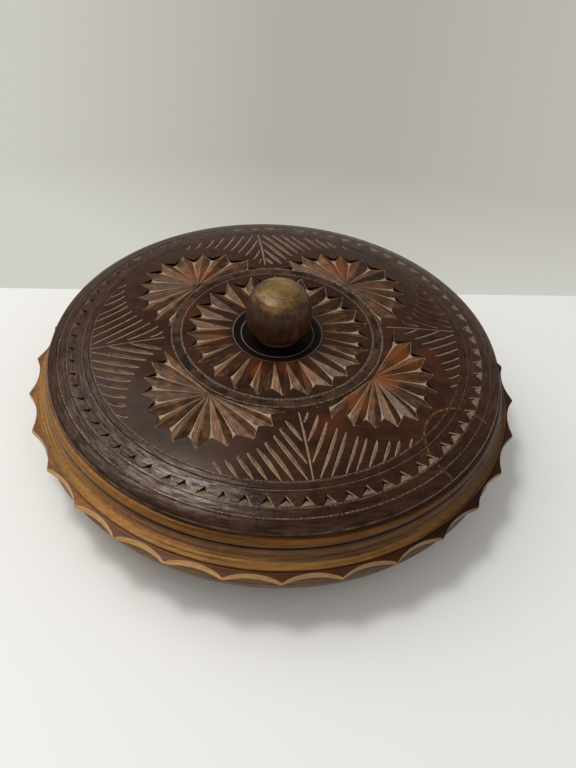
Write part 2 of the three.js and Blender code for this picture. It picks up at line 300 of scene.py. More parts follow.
def make_piece(name, points, faces, material, crease=30.0, face_values=None):
    """A mesh object from points in millimetres. Points in the same place are merged, which
    closes poles and seams, the faces are turned outward and sharp edges are kept sharp."""
    mesh = bpy.data.meshes.new(name)
    mesh.from_pydata((points * MM).tolist(), [], [list(face) for face in faces])
    for key, values in (face_values or {}).items():
        vector = values.ndim == 2
        layer = mesh.attributes.new(key, "FLOAT_VECTOR" if vector else "FLOAT", "FACE")
        layer.data.foreach_set("vector" if vector else "value",
                               np.asarray(values, np.float32).ravel())
    shape = bmesh.new()
    shape.from_mesh(mesh)
    bmesh.ops.remove_doubles(shape, verts=shape.verts, dist=0.004 * MM)
    bmesh.ops.dissolve_degenerate(shape, edges=shape.edges, dist=0.001 * MM)
    bmesh.ops.recalc_face_normals(shape, faces=shape.faces)
    shape.to_mesh(mesh)
    open_edges = sum(not edge.is_manifold for edge in shape.edges)
    volume = shape.calc_volume(signed=True)
    shape.free()
    if open_edges or volume <= 0:
        raise RuntimeError(f"{name}: {open_edges} open edges, volume {volume:.3g}")
    mesh.shade_smooth()
    mesh.set_sharp_from_angle(angle=math.radians(crease))
    mesh.materials.append(material)
    piece = bpy.data.objects.new(name, mesh)
    bpy.context.scene.collection.objects.link(piece)
    return piece


# What a face of the carved top is, for its colour
GROUND, CUT, RIDGE, WALL, GROOVE, RIB, STEP, CHIP = (float(i) for i in range(8))


def wrap(angle):
    """An angle brought to between minus and plus half a turn."""
    return (angle + np.pi) % (2 * np.pi) - np.pi


def crown(radius, lid):
    """Height of the lid's top before carving: level in the middle, then falling with the
    square of the distance beyond it."""
    return lid.top / MM - CROWN_FALL * np.maximum(radius - CROWN_LEVEL, 0) ** 2


class Dart:
    """One dart-shaped chip: two flat facets that share a valley from the root to the notch, and
    upright walls between the notch and the two tips. In millimetres along (x) and across (y)
    the valley a point is  x = notch share * length + tip share * tip x  and
    y = tip share * tip y,  and its depth is the corners' depths weighted by their shares. The
    valley's bottom is worn to a strip of half width 0.14 + 1.2 exp(-distance to notch / 2.2),
    and light arms run from the notch along the foot of the walls to the tips, where they are
    half as wide."""

    WALL_WIDTH = 0.16
    ARM = 0.42

    def __init__(self, middle, root, notch, tips, root_depth, depth, inner, tone):
        self.middle, self.root, self.inner, self.tone = middle, root, inner, tone
        self.root_depth, self.depth = root_depth, depth
        self.length = float(np.linalg.norm(notch - self.root))
        self.along = (notch - self.root) / self.length
        self.across = np.array([-self.along[1], self.along[0]])
        self.tips = [((tip - self.root) @ self.along, (tip - self.root) @ self.across)
                     for tip in tips]

    def strip(self, x):
        half = 0.14 + 1.2 * np.exp(-np.abs(self.length - x) / 2.2)
        return np.minimum(half, 0.1 * np.maximum(x, 0))

    def wear(self, xy):
        """How far along the valley a point is, from 0 at the root to 1 at the notch."""
        return np.clip((xy - self.root) @ self.along / self.length, 0, 1)

    def shares(self, tip, x, y):
        """The shares of a tip and of the root in a point on the tip's side of the valley."""
        tip_share = y / tip[1]
        return tip_share, 1 - tip_share - (x - tip_share * tip[0]) / self.length

    def height(self, tip):
        """Distance from the root to the line through the notch and a tip."""
        return self.length * abs(tip[1]) / math.hypot(tip[0] - self.length, tip[1])

    def cut(self, xy):
        away = xy - self.root
        x, y = away @ self.along, away @ self.across
        depth, kind = np.zeros(len(xy)), np.full(len(xy), GROUND)
        for tip in self.tips:
            tip_share, root_share = self.shares(tip, x, y)
            mine = (tip_share >= 0) & (tip_share + root_share <= 1) & (root_share > 0)
            tip_share, root_share = tip_share[mine], root_share[mine]
            room = root_share * self.height(tip)
            foot = self.WALL_WIDTH * np.maximum(1 - tip_share, 1e-6)
            wall = np.clip(room / foot, 0, 1)
            worn = self.strip(x[mine])
            floor = np.maximum(tip_share, worn / abs(tip[1]))
            notch_share = (x[mine] - floor * tip[0]) / self.length
            level = self.root_depth * (1 - floor - notch_share) + self.depth * notch_share
            depth[mine] = wall * level
            pale = (np.abs(y[mine]) < worn) | (room < foot + self.ARM * (1 - 0.5 * tip_share))
            kind[mine] = np.where(wall < 1, WALL, np.where(pale, RIDGE, CUT))
        if self.inner:
            share = np.clip((np.hypot(xy[:, 0], xy[:, 1]) - self.inner) / 0.5, 0, 1)
            kind = np.where((share < 1) & (kind != GROUND), WALL, kind)
            depth = depth * share
        return depth, kind

    def lines(self):
        """The valley, its strip, the facets' sides, the outline, the foot of the walls and the
        edge of the light arms."""
        x = np.concatenate([np.linspace(0, self.length - 6, 9)[:-1],
                            np.linspace(self.length - 6, self.length, 10)])
        paths = [np.column_stack([x, 0 * x])]
        for tip in self.tips:
            notch, point = np.array([self.length, 0.0]), np.array(tip)
            width, arm = self.WALL_WIDTH / self.height(tip), self.ARM / self.height(tip)
            y = self.strip(x) * np.sign(tip[1])
            paths += [np.column_stack([x, y])[self.shares(tip, x, y)[1] > width + arm],
                      np.linspace(0 * point, point, 9), np.linspace(notch, point, 6),
                      np.linspace(notch * (1 - width), point, 6)]
            share = np.linspace(0, (1 - width - arm) / (1 - width - 0.5 * arm), 6)[:, None]
            inset = width * (1 - share) + arm * (1 - 0.5 * share)
            paths.append(share * point + (1 - share - inset) * notch)
        turn = np.array([self.along, self.across])
        return [self.root + path @ turn for path in paths]


class Rib:
    """A spindle-shaped gouge cut with a V section: half width = w sin(pi t^0.8)^0.7 along its
    length t, and a depth in proportion to the distance from its edge. Its bottom lies a little
    to one side, so one wall is broad and the other steep."""

    def __init__(self, start, end, width, steep=0.8, tone=0.0, blunt=0.7, aside=0.0):
        self.start, self.end = np.array(start, float), np.array(end, float)
        self.length = float(np.linalg.norm(self.end - self.start))
        self.along = (self.end - self.start) / self.length
        self.side = np.array([-self.along[1], self.along[0]])
        self.width, self.steep, self.tone, self.blunt = width, steep, tone, blunt
        self.aside = aside

    def half(self, t):
        return self.width * np.sin(np.pi * np.clip(t, 0, 1) ** 0.8) ** self.blunt

    def cut(self, xy):
        away = xy - self.start
        t = away @ self.along / self.length
        across = away @ self.side
        half = self.half(t)
        mine = (t > 0) & (t < 1) & (np.abs(across) < half)
        middle = self.aside * half
        room = np.where(across > middle, half - across, half + across)
        span = np.where(across > middle, half - middle, half + middle)
        depth = np.where(mine, self.steep * half * room / np.maximum(span, 1e-6), 0)
        bottom = np.abs(across - middle) < 0.2
        return depth, np.where(mine, np.where(bottom, RIDGE, RIB), GROUND)

    def lines(self):
        t = 0.5 - 0.5 * np.cos(np.pi * np.linspace(0, 1, 12))
        spine = self.start + np.outer(t * self.length, self.along)
        offset = np.outer(self.half(t), self.side)
        bottom = spine + self.aside * offset
        return [bottom, bottom + 0.2 * self.side, bottom - 0.2 * self.side,
                spine + offset, spine - offset]


class Chip:
    """A three-cornered chip: three flat facets that meet at its deepest point. The one at its
    base, opposite the first corner, gets painted light: pale where it turns towards the lamp and
    darkened where it turns away. One side's upper part may be rubbed pale, and the rest of the
    sides are painted near black as painted shade."""

    def __init__(self, corners, deepest, depth, tone=0.0):
        self.corners = np.array(corners, float)
        self.deepest = np.array(deepest, float)
        self.depth, self.tone = depth, tone

    def cut(self, xy):
        shares = []
        for i in range(3):
            a, b = self.corners[i], self.corners[(i + 1) % 3]
            side = np.array([a[1] - b[1], b[0] - a[0]])
            shares.append((xy - a) @ side / ((self.deepest - a) @ side))
        share = np.min(shares, axis=0)
        side = np.argmin(shares, axis=0)
        depth = self.depth * np.clip(share, 0, 1)
        kind = np.where(side == 1, CHIP, np.where((side == 2) & (share < 0.4), RIDGE, WALL))
        return depth, np.where(depth > 0, kind, GROUND)

    def lines(self):
        half = 0.6 * self.corners + 0.4 * self.deepest
        spokes = [np.array([corner, middle, self.deepest])
                  for corner, middle in zip(self.corners, half)]
        return [self.corners[[0, 1, 2, 0]], half[[0, 2]]] + spokes


class Groove:
    """A turned groove, a ring about the lid's axis. Its sides slope over a given width, and
    between them it is level; a V groove's sides take up its whole width."""

    tone = 0.0

    def __init__(self, radius, half_width, depth, slope):
        self.radius, self.half_width, self.depth, self.slope = radius, half_width, depth, slope

    def cut(self, xy):
        off = np.abs(np.hypot(xy[:, 0], xy[:, 1]) - self.radius)
        share = np.clip((self.half_width - off) / self.slope, 0, 1)
        return self.depth * share, np.where(share > 0, GROOVE, GROUND)

    def lines(self):
        angle = np.linspace(0, 2 * np.pi, int(2 * np.pi * self.radius / 1.6) + 1)
        floor = self.half_width - self.slope
        offsets = {-self.half_width, -floor, floor, self.half_width}
        return [(self.radius + offset) * circle(angle) for offset in offsets]


def polar(radius, degrees):
    angle = math.radians(degrees)
    return np.array([radius * math.cos(angle), radius * math.sin(angle)])


def rosette(rng):
    """The darts round the knob. Stained ground is left between them in spikes."""
    valleys = np.radians(ROSETTE_VALLEYS)
    before = valleys - 0.5 * ((valleys - np.roll(valleys, 1)) % (2 * np.pi))
    tips = [polar(43.1 + rng.normal(0, 0.4), math.degrees(angle) + rng.normal(0, 0.5))
            for angle in before]
    darts = []
    for i, angle in enumerate(ROSETTE_VALLEYS):
        root = polar(RECESS_EDGE + 0.2, angle + rng.normal(0, 0.4))
        notch = polar(38.3 + rng.normal(0, 0.35), angle)
        pair = (tips[i], tips[(i + 1) % len(tips)])
        darts.append(Dart(np.zeros(2), root, notch, pair, 0.0, 2.2 + rng.normal(0, 0.1), 0.0,
                          rng.uniform(-1, 1)))
    return darts


def fan(index, rng):
    """Eleven darts spread about a worn hub near the ring, longer towards the ends. They meet
    in crests that rise from the hub to the tips."""
    outward = FAN_ANGLES[index]
    centre = polar(FAN_RADIUS, outward)
    valleys = np.array(FAN_VALLEYS[index], float)
    ends = np.concatenate([[valleys[0] - 12.6], valleys, [valleys[-1] + 12.6]])
    between = 0.5 * (ends[:-1] + ends[1:])

    def reach(angle):
        return 24.1 + 5.4 * np.clip((abs(angle) - 49) / 57, 0, 1)

    tips = [centre + polar(reach(angle) + 5.0 + rng.normal(0, 0.35),
                           outward + angle + rng.normal(0, 0.7)) for angle in between]
    darts = []
    for i, angle in enumerate(valleys):
        notch = centre + polar(reach(angle) + rng.normal(0, 0.3), outward + angle)
        darts.append(Dart(centre, centre, notch, (tips[i], tips[i + 1]), 0.6,
                          2.0 + rng.normal(0, 0.1), FAN_CUT_OFF, rng.uniform(-1, 1)))
    return darts


def spray(index, rng):
    """A leaf spray: a narrow spine along a radius and parallel gouge cuts on both sides that
    lean towards its outer end, each as long as the room between the fans and the border."""
    spine = math.radians(SPRAY_ANGLES[index])
    out = np.array([math.cos(spine), math.sin(spine)])
    side = np.array([-out[1], out[0]])
    cuts = [Rib(out * 52.8, out * 87.2, 0.7, 0.9, 0.5, 0.45)]
    end = out * 86.4
    fans = [polar(FAN_RADIUS, angle) for angle in FAN_ANGLES]
    t = np.linspace(-60, 30, 901)  # places along a cut's line, 0.1 mm apart
    for hand in (-1.0, 1.0):
        lean = math.radians(26.0 + rng.normal(0, 0.6))
        along = out * math.cos(lean) - side * hand * math.sin(lean)
        normal = out * math.sin(lean) + side * hand * math.cos(lean)
        for k in range(-5, 12):
            offset = (k + 0.5) * RIB_SPACING + rng.normal(0, 0.25)
            path = end + normal * offset + np.outer(t, along)
            radius = np.hypot(path[:, 0], path[:, 1])
            free = (radius > SPRAY_RING[0]) & (radius < SPRAY_RING[1])
            free &= path @ side * hand > 1.1
            for middle in fans:
                free &= np.hypot(*(path - middle).T) > FAN_CLEAR + 0.3
            run = np.flatnonzero(free)
            if len(run) < 40:
                continue
            first, last = path[run[0]], path[run[-1]]
            width = min(1.12 + rng.normal(0, 0.07), 0.02 * len(run) / 1.5)
            lit_side = np.sign(along[0] * RIB_LIGHT[1] - along[1] * RIB_LIGHT[0])
            cuts.append(Rib(first, last, width, 0.75, rng.uniform(-1, 1), aside=0.25 * lit_side))
    return cuts


def border(rng):
    """Small three-cornered chips in a ring, each with its apex towards the centre. They are
    smallest on the left."""
    chips = []
    for i in range(BORDER_CHIPS):
        angle = 360.0 * (i + 0.5) / BORDER_CHIPS + rng.normal(0, 0.25)
        size = 0.96 + rng.normal(0, 0.07) - 0.2 * max(math.cos(math.radians(angle - 170)), 0)
        half_angle = 1.9 * size
        apex = polar(CHIP_BASE - 2.0 - 2.6 * size, angle + rng.normal(0, 0.3))
        left = polar(CHIP_BASE + rng.normal(0, 0.15), angle - half_angle)
        right = polar(CHIP_BASE + rng.normal(0, 0.15), angle + half_angle)
        deepest = 0.68 * apex + 0.16 * (left + right)
        chips.append(Chip([apex, left, right], deepest, 1.1, rng.uniform(-1, 1)))
    return chips


def carving():
    """Every cut on the lid, with the same small irregularities each time."""
    rng = np.random.default_rng(24)
    cuts = rosette(rng)
    for index in range(4):
        cuts += fan(index, rng)
        cuts += spray(index, rng)
    cuts += border(rng)
    cuts.append(Groove(BAND_RADIUS, 1.9, 0.25, 0.35))
    cuts += [Groove(radius, 0.35, 0.45, 0.35) for radius in V_GROOVES]
    cuts.append(Groove(EDGE_GROOVE, 0.3, 0.3, 0.3))
    return cuts


def cut_depth(cuts, xy):
    """The deepest cut at each point, which cut it is, and what kind of face it has there."""
    best, which, kinds = np.zeros(len(xy)), np.full(len(xy), -1), np.full(len(xy), GROUND)
    for number, cut in enumerate(cuts):
        depth, kind = cut.cut(xy)
        more = depth > best
        best[more] = depth[more]
        which[more] = number
        kinds[more] = kind[more]
    return best, which, kinds


def carved_top(lid):
    """The carved face as triangles: the lines of all cuts and a loose net of points over the
    ground between them are joined by a constrained Delaunay triangulation, and each point's
    height is the crown's height less the depth of the cut there."""
    cuts = carving()
    points, edges = [], []

    def lay(path, closed=False):
        first = sum(len(p) for p in points)
        points.append(path)
        index = (first + np.arange(len(path))).tolist()
        edges.extend(zip(index[:-1], index[1:]))
        if closed:
            edges.append((index[-1], index[0]))

    for radius in (RECESS_EDGE, CARVED_EDGE, FAN_CUT_OFF + 0.5):
        lay(radius * circle(around(LID_SEGMENTS)), closed=True)
    for cut in cuts:
        for path in cut.lines():
            away = np.hypot(path[:, 0], path[:, 1])
            if isinstance(cut, Dart):
                path = path * (np.maximum(away, cut.inner) / away)[:, None]
            lay(path)
    ground = []
    for radius in np.arange(RECESS_EDGE + 1.4, CARVED_EDGE - 1.0, 1.9):
        count = int(2 * np.pi * radius / 2.1)
        ground.append(radius * circle((np.arange(count) + 0.37 * radius) * 2 * np.pi / count))
    ground = np.vstack(ground)
    depth, _, _ = cut_depth(cuts, ground)
    points.append(ground[depth <= 0])
    flat = np.vstack(points)
    result = delaunay_2d_cdt([Vector(p) for p in flat.tolist()], edges, [], 0, 0.01)
    xy = np.array([tuple(v) for v in result[0]])
    faces = np.array(result[2])
    middle = xy[faces].mean(axis=1)
    keep = np.hypot(middle[:, 0], middle[:, 1]) > RECESS_EDGE * math.cos(math.pi / LID_SEGMENTS)
    faces, middle = faces[keep], middle[keep]
    depth, _, _ = cut_depth(cuts, xy)
    height = crown(np.hypot(xy[:, 0], xy[:, 1]), lid) - depth
    _, which, kinds = cut_depth(cuts, middle)
    # Painted light: how far each face turns towards the lamp on the left, which the lid's material
    # uses to paint lit faces paler and turned-away faces darker
    solid = np.column_stack([xy, height])
    sides = solid[faces[:, 1:]] - solid[faces[:, :1]]
    normal = np.cross(sides[:, 0], sides[:, 1])
    painted_light_facing = normal @ PAINTED_LIGHT_FROM / np.maximum(np.linalg.norm(normal, axis=1), 1e-9)
    tone = np.array([cut.tone for cut in cuts] + [0.0])[which]
    wear, centres = np.ones(len(faces)), np.zeros((len(faces), 3))
    for number, cut in enumerate(cuts):
        if isinstance(cut, Dart):
            mine = which == number
            wear[mine] = cut.wear(middle[mine])
            centres[mine, :2] = cut.middle * MM
        elif isinstance(cut, Chip):
            wear[which == number] = 0.4
    return solid, faces, {"kind": kinds, "tone": tone, "wear": wear, "middle": centres,
                          "painted_light_facing": painted_light_facing}


def blots(n, place, spots):
    """Soft round marks at (x, y, radius) in millimetres: 1 in the middle of a mark, 0 outside,
    with ragged edges from a noise that shifts the place looked up by up to 9 mm."""
    warp = n.add("ShaderNodeTexNoise", {"Vector": place, "Scale": 130.0, "Detail": 3.0}, "Color")
    flat = n.vector("MULTIPLY", n.vector("MULTIPLY_ADD", warp, (9 * MM,) * 3, place), (1, 1, 0))
    total = 0.0
    for x, y, radius in spots:
        gap = n.span("DISTANCE", flat, ((x + 4.5) * MM, (y + 4.5) * MM, 0))
        total = n.most(n.remap(gap, radius * MM, 0.3 * radius * MM), total)
    return total


def lid_material(lid):
    """Stained and waxed hardwood that was carved after staining: a dark mottled ground with
    rust-coloured spots and the ring of a wet cup, and brown facets streaked by the knife. The
    darts' valleys, the foot of their walls and the lips of the turned grooves are rubbed pale.
    Painted light and shade: faces of the cuts are painted paler where they turn towards the
    lamp on the left and darker where they turn away, the ribs are painted paler on the lid's
    left side, the outer lips and the step edges of the sunk ring get painted highlights on the
    front left, the walls of the cuts are painted near black as painted shade, and the sunk
    ring round the knob is painted near black, partly the stain and partly painted shade."""
    material, n = new_material("stained_carved_hardwood")
    place = n.place()
    flat = n.vector("MULTIPLY", place, (1, 1, 0))
    radius = n.span("LENGTH", flat) * 1000.0
    fibre = n.noise(n.stretch(place, (45, 900, 300)), 1.0, 5.0)
    patch = n.noise(place, 42.0)
    blotch = n.noise(place, 150.0, 4.0, 0.65)
    fine = n.noise(place, 700.0, 3.0)
    grit = n.noise(place, 1900.0, 2.0, 0.7)
    kind, tone, wear, painted_light_facing = (n.attribute(name) for name in ("kind", "tone", "wear", "painted_light_facing"))
    rust = blots(n, place, RUST_SPOTS)
    # The front-left side of the lid, where painted highlights are put
    front = n.remap(n.span("DOT_PRODUCT", place, (-0.6, -0.8, 0)), -0.03, 0.04)

    def rings(*lines):
        """1 on rings of a radius and half width in millimetres, fading over half of each."""
        return n.most(*(n.remap(abs(radius - middle), half, 0.5 * half) for middle, half in lines))

    ground = n.ramp(blotch * 0.55 + patch * 0.45, (0.38, lid.stain_dark), (0.62, lid.stain_red))
    ground = n.scaled(ground, n.remap(fibre, 0.3, 0.7, 0.72, 1.25))
    ground = n.mix(rust * 0.5, ground, lid.rust)
    stain = n.span("DISTANCE", flat, STAIN_CENTRE) * 1000.0
    ground = n.mix(n.remap(stain, 20.0, 17.0, 0.0, 0.55), ground, "#2a180d")
    edge = n.remap(abs(stain - STAIN_RADIUS), 0.8, 0.2) * n.remap(fine, 0.4, 0.62)
    ground = n.mix(edge * 0.8, ground, "#7d5628")

    away = n.vector("SUBTRACT", flat, n.attribute("middle", "Vector"))
    reach = n.span("LENGTH", away)

    def streaks(across, along, shift=0.0):
        """Noise drawn out along radii or circles of the middle that a face belongs to: how
        finely it varies with the direction, and with the distance in metres."""
        rise = n.add("ShaderNodeCombineXYZ", {2: reach * along + shift})
        spot = n.vector("MULTIPLY_ADD", n.vector("NORMALIZE", away), (across,) * 3, rise)
        return n.noise(spot, 1.0, 4.0, 0.7)

    knife = streaks(42.0, 190.0, tone)
    marks = streaks(13.0, 1100.0)
    # Painted light: facets that turn towards the lamp are painted paler and those that turn away
    # darker
    shade = knife * 0.6 + blotch * 0.4 + tone * 0.04 + painted_light_facing * 0.16
    facet = n.ramp(shade, (0.36, "#24170e"), (0.46, lid.cut_face), (0.57, "#66462e"),
                   (0.68, "#8b6a4e"))
    facet = n.mix(rust * n.remap(shade, 0.65, 0.45, 0.15, 0.75), facet, "#753c14")
    rubbed = n.remap(fine, 0.3, 0.5, 0.45, 1.0) * n.remap(wear, 0.05, 0.7, 0.25, 1.0)
    ridge = n.mix(rubbed, facet, lid.pale_wear_and_highlight)
    pale = n.mix(n.remap(fine, 0.3, 0.6, 0.15, 0.65), facet, lid.pale_wear_and_highlight)
    # Painted light and shade: a chip's base facet is painted pale where it turns towards the lamp
    # and darkened where it turns away
    chip = n.mix(n.remap(painted_light_facing, -0.2, 0.15), n.scaled(facet, 0.6), pale)
    rib = n.mix(n.remap(fine, 0.35, 0.65, 0.0, 0.35), facet, lid.pale_wear_and_highlight)
    # Painted light and shade: rib walls that turn towards the lamp keep the rib's paler colour,
    # the others are painted with darkened ground
    rib = n.mix(n.remap(painted_light_facing, 0.0, 0.3), n.scaled(ground, 0.8), rib)
    # Painted light: ribs on the lid's left side, towards the lamp, keep their paler colour, and
    # towards the right they are painted closer to the ground
    left = n.span("DOT_PRODUCT", place, (-1.0, -0.3, 0))
    rib = n.mix(n.remap(left, -0.06, 0.03, 0.45, 1.0), ground, rib)

    band = rings((BAND_RADIUS, 2.6))
    torn = n.ramp(blotch, (0.4, "#22160e"), (0.62, "#4a3626"))
    torn = n.scaled(torn, n.remap(fine, 0.3, 0.7, 0.6, 1.4))
    # The inner lips are rubbed pale all round; the outer lips are also painted brighter on the
    # front left as painted highlight
    lips = n.most(rings(*INNER_LIPS), rings(*OUTER_LIPS) * n.remap(front, 0.0, 1.0, 0.25, 0.8))
    lips = lips * n.remap(grit, 0.46, 0.58, 0.0, 0.85)
    # Painted shade and highlight: the sunk ring is painted near black, partly the stain and partly
    # painted shade, and its step edges get broken painted glints on the front left only
    rubbed = n.remap(grit * 1.2 + rings(*STEP_EDGES), 1.3, 1.55)
    step = n.mix(rubbed * front, "#170e08", "#a89f95")
    colour = n.mix(band * 0.8, ground, torn)
    # Painted shade: WALL faces, the upright walls of the darts and chips and the floor of the sunk
    # ring, are painted near black
    for number, paint in ((CUT, facet), (RIDGE, ridge), (WALL, "#130a06"), (GROOVE, torn),
                          (RIB, rib), (STEP, step), (CHIP, chip)):
        colour = n.mix(n.calc("COMPARE", kind, number, 0.4), colour, paint)
    colour = n.mix(lips, colour, "#8d7f6c")

    cut = n.calc("GREATER_THAN", kind, 0.5)
    border = n.remap(radius, 86.0, 90.0)
    rough = cut * 0.12 + n.remap(patch, 0.35, 0.65, 0.19, 0.27) + band * 0.15
    ripple = n.noise(n.stretch(place, (130, 420, 300)), 1.0, 3.0)
    coarse = n.most(border, band, cut * 0.6)
    rise = ripple * 0.35 + fibre * 0.3
    rise = rise + grit * (coarse * 0.6 + 0.08) + marks * (border * 0.5 + 0.15)
    sheen = n.remap(border, 0.0, 1.0, 0.26, n.remap(marks, 0.42, 0.64, 0.12, 0.8))
    for number in (WALL, GROOVE, STEP):
        dull = n.remap(n.calc("COMPARE", kind, number, 0.4), 0.0, 1.0, 1.0, 0.15)
        sheen = n.calc("MINIMUM", sheen, dull)
    n.wood(colour, rough, rise, 0.5, ior=1.45, level=sheen, tint="#fff0e2")
    return material


def bowl_material(bowl):
    """Oiled hardwood turned from a flat-sawn block: its growth rings lie nearly level, so
    they come out as bands and streaks that run along the rim. The left side is painted more
    golden as painted light, the right side is darkened, partly stain and partly painted
    shade, and the scallops' faces show clean paler wood."""
    material, n = new_material("oiled_flat_sawn_hardwood")
    place = n.place()
    bend = n.noise(place, 22.0, 3.0, 0.5)
    level = bend * 0.0016 + n.part(place, "Z")
    # Painted shade: the near black at 40.3 to 40.9 mm darkens the small groove under the seat ring
    rings = ((20, "#755a44"), (27.5, "#856a50"), (28.9, bowl.late_wood), (31.9, bowl.late_wood),
             (32.8, bowl.early_wood), (34.6, "#94683c"), (35.4, "#6e4a2a"), (37.5, "#835c36"),
             (39.8, "#573923"), (40.3, "#120a05"), (40.9, "#120a05"), (41.6, "#6f4517"),
             (45.6, "#7a4e1b"))  # colours by height in millimetres, from 20 to 46
    rings = n.ramp(n.remap(level, 0.0208, 0.0468), *(((z - 20) / 26, c) for z, c in rings))
    lines = n.noise(n.stretch(place, (16, 16, 1500)), 1.0, 5.0, 0.7)
    lines = n.remap(lines, 0.36, 0.6, 0.42, 1.3)
    grain = n.noise(n.stretch(place, (90, 500, 900)), 1.0, 4.0, 0.7)
    grain = n.remap(grain, 0.34, 0.66, 0.72, 1.25)
    left = n.span("DOT_PRODUCT", place, (-0.95, 0.31, 0))
    fresh = n.attribute("fresh")
    # Painted light: towards the lamp on the left the wood is mixed with the pale early wood
    wood = n.mix(n.remap(left, 0.02, 0.1, 0.0, 0.6), rings, bowl.early_wood)
    wood = n.mix(fresh, wood, bowl.fresh_cut)
    wood = n.scaled(wood, n.most(lines, fresh) * grain)
    # Partly stain, partly painted shade: away from the lamp the right side is darkened to about a
    # third
    wood = n.scaled(wood, n.remap(left, 0.02, -0.1, 1.0, 0.34))
    n.wood(wood, 0.4, lines * 0.5 + grain, 0.35, ior=1.5, level=0.24, tint="#ffeedd")
    return material


def knob_material(knob):
    """Stained and hand-polished hardwood: dark red-brown below with an upright grain, worn to
    olive yellow on the top, where the turned rings show."""
    material, n = new_material("stained_polished_hardwood")
    place = n.place()
    patch = n.noise(place, 110.0, 5.0, 0.65)
    grain = n.noise(n.stretch(place, (700, 700, 90)), 1.0, 4.0)
    flat = n.vector("MULTIPLY", place, (1, 1, 0))
    radius = n.span("DISTANCE", flat, (MM, MM, 0))
    rings = n.noise(n.add("ShaderNodeCombineXYZ", {0: radius * 900.0, 1: patch * 2.0}), 1.0, 3.0)
    stain = n.ramp(grain * 0.55 + patch * 0.45, (0.38, knob.stain), (0.52, "#3a2012"),
                   (0.66, "#5b3a22"))
    bare = n.ramp(patch * 0.6 + rings * 0.5, (0.44, "#49331f"), (0.54, "#6f5730"),
                  (0.66, knob.bare))
    ragged = patch * 0.012 + n.part(place, "Z")
    wood = n.mix(n.remap(ragged, 0.088, 0.0935, 0.0, 0.9), stain, bare)
    n.wood(wood, 0.36, grain, 0.35, ior=1.5, level=0.4, tint="#ffeedd")
    return material


def length_setting(name, description, default):
    return FloatProperty(name=name, description=description, default=default, unit="LENGTH")


def colour_setting(name, description, code):
    return FloatVectorProperty(name=name, description=description, default=linear(code), size=4,
                               subtype="COLOR")


class BowlSettings(bpy.types.PropertyGroup):
    rim: length_setting("Rim radius", "Out to the points of the scallops", 0.118)
    scallops: IntProperty(name="Scallops", description="How many scallops go round the rim",
                          default=30, min=6)
    scallop_depth: length_setting("Scallop depth", "From a point to a hollow", 0.0037)
    gouge: length_setting("Gouge radius", "Curve of the scalloping gouge", 0.0275)
    lean: FloatProperty(name="Least gouge lean", description="How far the cuts lean at the back",
                        default=math.radians(-6), subtype="ANGLE")
    more_lean: FloatProperty(name="Extra gouge lean", description="Added where it leans most",
                             default=math.radians(16), subtype="ANGLE")
    early_wood: colour_setting("Early wood", "Pale part of a growth ring", "#946730")
    late_wood: colour_setting("Late wood", "Dark part of a growth ring", "#5a2f12")
    fresh_cut: colour_setting("Cut faces", "Wood of the scallops' faces", "#bb8e58")


class LidSettings(bpy.types.PropertyGroup):
    top: length_setting("Top height", "Height of the lid's level middle", 0.0617)
    stain_dark: colour_setting("Dark stain", "Darkest ground colour", "#27180f")
    stain_red: colour_setting("Red stain", "Warmest ground colour", "#3e2417")
    rust: colour_setting("Rust tint", "Where the stain ran thin", "#552c14")
    cut_face: colour_setting("Cut faces", "Wood inside the carved cuts", "#3d2919")
    # This colour is used for ridges rubbed through, and also as painted highlight on the lit base
    # facets of the border chips
    pale_wear_and_highlight: colour_setting("Worn ridges", "Ridges rubbed through", "#9d8a73")


class KnobSettings(bpy.types.PropertyGroup):
    top: length_setting("Knob top", "Height of the knob's top above the table", 0.088)
    stain: colour_setting("Stain", "Colour of the knob's body", "#23130b")
    bare: colour_setting("Bare wood", "Colour of the knob's worn top", "#907239")


class StageSettings(bpy.types.PropertyGroup):
    floor: colour_setting("Floor", "Colour of the table top", "#e9e8e4")
    wall: colour_setting("Backdrop", "Colour behind the table", "#aca9a1")
    wall_low: colour_setting("Backdrop by the table", "Its lighter foot", "#d0cfc8")


